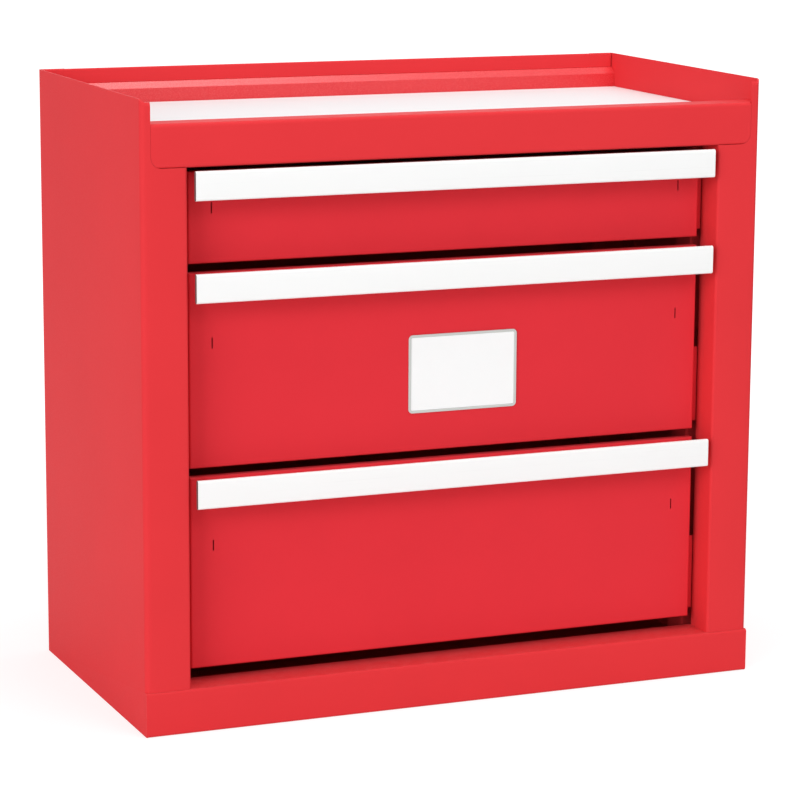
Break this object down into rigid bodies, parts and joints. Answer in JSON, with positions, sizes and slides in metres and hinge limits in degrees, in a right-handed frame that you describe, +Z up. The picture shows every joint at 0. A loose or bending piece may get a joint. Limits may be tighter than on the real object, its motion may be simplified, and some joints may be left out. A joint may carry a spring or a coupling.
{
  "type": "multi-drawer cabinet",
  "caption": "Bench-top steel tool cabinet with a recessed worktop and drawers with full-width handles on ball-bearing slides.",
  "frame": {"origin": "middle of the footprint, on the surface the cabinet stands on", "axes": "+X to the right seen from the front, +Y to the back, +Z up; drawers slide out along -Y"},
  "size_m": [0.6, 0.315, 0.565],
  "materials": {
    "body_paint": "red gloss powder coat",
    "drawer_paint": "red gloss powder coat",
    "handle_white": "pale satin coating",
    "worktop_white": "smooth white sheet",
    "slide_zinc": "bright zinc plated",
    "ball_steel": "oiled bearing steel",
    "zinc_fastener": "zinc plated",
    "label_grey": "satin grey rim",
    "label_white": "blank white card"
  },
  "bodies": {
    "cabinet": {"side_panel_left": "body_paint", "side_panel_right": "body_paint", "back_panel": "body_paint", "bottom_panel": "body_paint", "base_rail": "body_paint", "top_rail": "body_paint", "worktop_pan": "body_paint", "worktop_sheet": "worktop_white", "slide_post_front_left": "body_paint", "slide_post_front_right": "body_paint", "slide_post_rear_left": "body_paint", "slide_post_rear_right": "body_paint", "slide_screws": "zinc_fastener", "slide_1_outer_left": "slide_zinc", "slide_1_outer_right": "slide_zinc", "slide_2_outer_left": "slide_zinc", "slide_2_outer_right": "slide_zinc", "slide_3_outer_left": "slide_zinc", "slide_3_outer_right": "slide_zinc"},
    "drawer_1": {"drawer_1_front": "drawer_paint", "drawer_1_tray": "drawer_paint", "drawer_1_tray_front": "drawer_paint", "drawer_1_tray_back": "drawer_paint", "drawer_1_handle": "handle_white", "drawer_1_rivets": "zinc_fastener", "slide_1_inner_left": "slide_zinc", "slide_1_inner_right": "slide_zinc"},
    "slide_1_middle": {"slide_1_middle_left": "slide_zinc", "slide_1_middle_right": "slide_zinc"},
    "slide_1_outer_cage": {"slide_1_outer_cages": "ball_steel"},
    "slide_1_inner_cage": {"slide_1_inner_cages": "ball_steel"},
    "drawer_2": {"drawer_2_front": "drawer_paint", "drawer_2_tray": "drawer_paint", "drawer_2_tray_front": "drawer_paint", "drawer_2_tray_back": "drawer_paint", "drawer_2_handle": "handle_white", "drawer_2_rivets": "zinc_fastener", "slide_2_inner_left": "slide_zinc", "slide_2_inner_right": "slide_zinc", "label_frame": "label_grey", "label_card": "label_white"},
    "slide_2_middle": {"slide_2_middle_left": "slide_zinc", "slide_2_middle_right": "slide_zinc"},
    "slide_2_outer_cage": {"slide_2_outer_cages": "ball_steel"},
    "slide_2_inner_cage": {"slide_2_inner_cages": "ball_steel"},
    "drawer_3": {"drawer_3_front": "drawer_paint", "drawer_3_tray": "drawer_paint", "drawer_3_tray_front": "drawer_paint", "drawer_3_tray_back": "drawer_paint", "drawer_3_handle": "handle_white", "drawer_3_rivets": "zinc_fastener", "slide_3_inner_left": "slide_zinc", "slide_3_inner_right": "slide_zinc"},
    "slide_3_middle": {"slide_3_middle_left": "slide_zinc", "slide_3_middle_right": "slide_zinc"},
    "slide_3_outer_cage": {"slide_3_outer_cages": "ball_steel"},
    "slide_3_inner_cage": {"slide_3_inner_cages": "ball_steel"}
  },
  "joints": [
    {"name": "drawer_1_slide", "type": "slide", "parent": "cabinet", "child": "drawer_1", "axis": [0, -1, 0], "range_m": [0, 0.24]},
    {"name": "slide_1_middle_slide", "type": "slide", "parent": "cabinet", "child": "slide_1_middle", "axis": [0, -1, 0], "range_m": [0, 0.12]},
    {"name": "slide_1_outer_cage_slide", "type": "slide", "parent": "cabinet", "child": "slide_1_outer_cage", "axis": [0, -1, 0], "range_m": [0, 0.06]},
    {"name": "slide_1_inner_cage_slide", "type": "slide", "parent": "cabinet", "child": "slide_1_inner_cage", "axis": [0, -1, 0], "range_m": [0, 0.18]},
    {"name": "drawer_2_slide", "type": "slide", "parent": "cabinet", "child": "drawer_2", "axis": [0, -1, 0], "range_m": [0, 0.24]},
    {"name": "slide_2_middle_slide", "type": "slide", "parent": "cabinet", "child": "slide_2_middle", "axis": [0, -1, 0], "range_m": [0, 0.12]},
    {"name": "slide_2_outer_cage_slide", "type": "slide", "parent": "cabinet", "child": "slide_2_outer_cage", "axis": [0, -1, 0], "range_m": [0, 0.06]},
    {"name": "slide_2_inner_cage_slide", "type": "slide", "parent": "cabinet", "child": "slide_2_inner_cage", "axis": [0, -1, 0], "range_m": [0, 0.18]},
    {"name": "drawer_3_slide", "type": "slide", "parent": "cabinet", "child": "drawer_3", "axis": [0, -1, 0], "range_m": [0, 0.24]},
    {"name": "slide_3_middle_slide", "type": "slide", "parent": "cabinet", "child": "slide_3_middle", "axis": [0, -1, 0], "range_m": [0, 0.12]},
    {"name": "slide_3_outer_cage_slide", "type": "slide", "parent": "cabinet", "child": "slide_3_outer_cage", "axis": [0, -1, 0], "range_m": [0, 0.06]},
    {"name": "slide_3_inner_cage_slide", "type": "slide", "parent": "cabinet", "child": "slide_3_inner_cage", "axis": [0, -1, 0], "range_m": [0, 0.18]}
  ],
  "couplings": [
    {"joint": "slide_1_middle_slide", "follows": "drawer_1_slide", "ratio": 0.5},
    {"joint": "slide_1_outer_cage_slide", "follows": "drawer_1_slide", "ratio": 0.25},
    {"joint": "slide_1_inner_cage_slide", "follows": "drawer_1_slide", "ratio": 0.75},
    {"joint": "slide_2_middle_slide", "follows": "drawer_2_slide", "ratio": 0.5},
    {"joint": "slide_2_outer_cage_slide", "follows": "drawer_2_slide", "ratio": 0.25},
    {"joint": "slide_2_inner_cage_slide", "follows": "drawer_2_slide", "ratio": 0.75},
    {"joint": "slide_3_middle_slide", "follows": "drawer_3_slide", "ratio": 0.5},
    {"joint": "slide_3_outer_cage_slide", "follows": "drawer_3_slide", "ratio": 0.25},
    {"joint": "slide_3_inner_cage_slide", "follows": "drawer_3_slide", "ratio": 0.75}
  ]
}
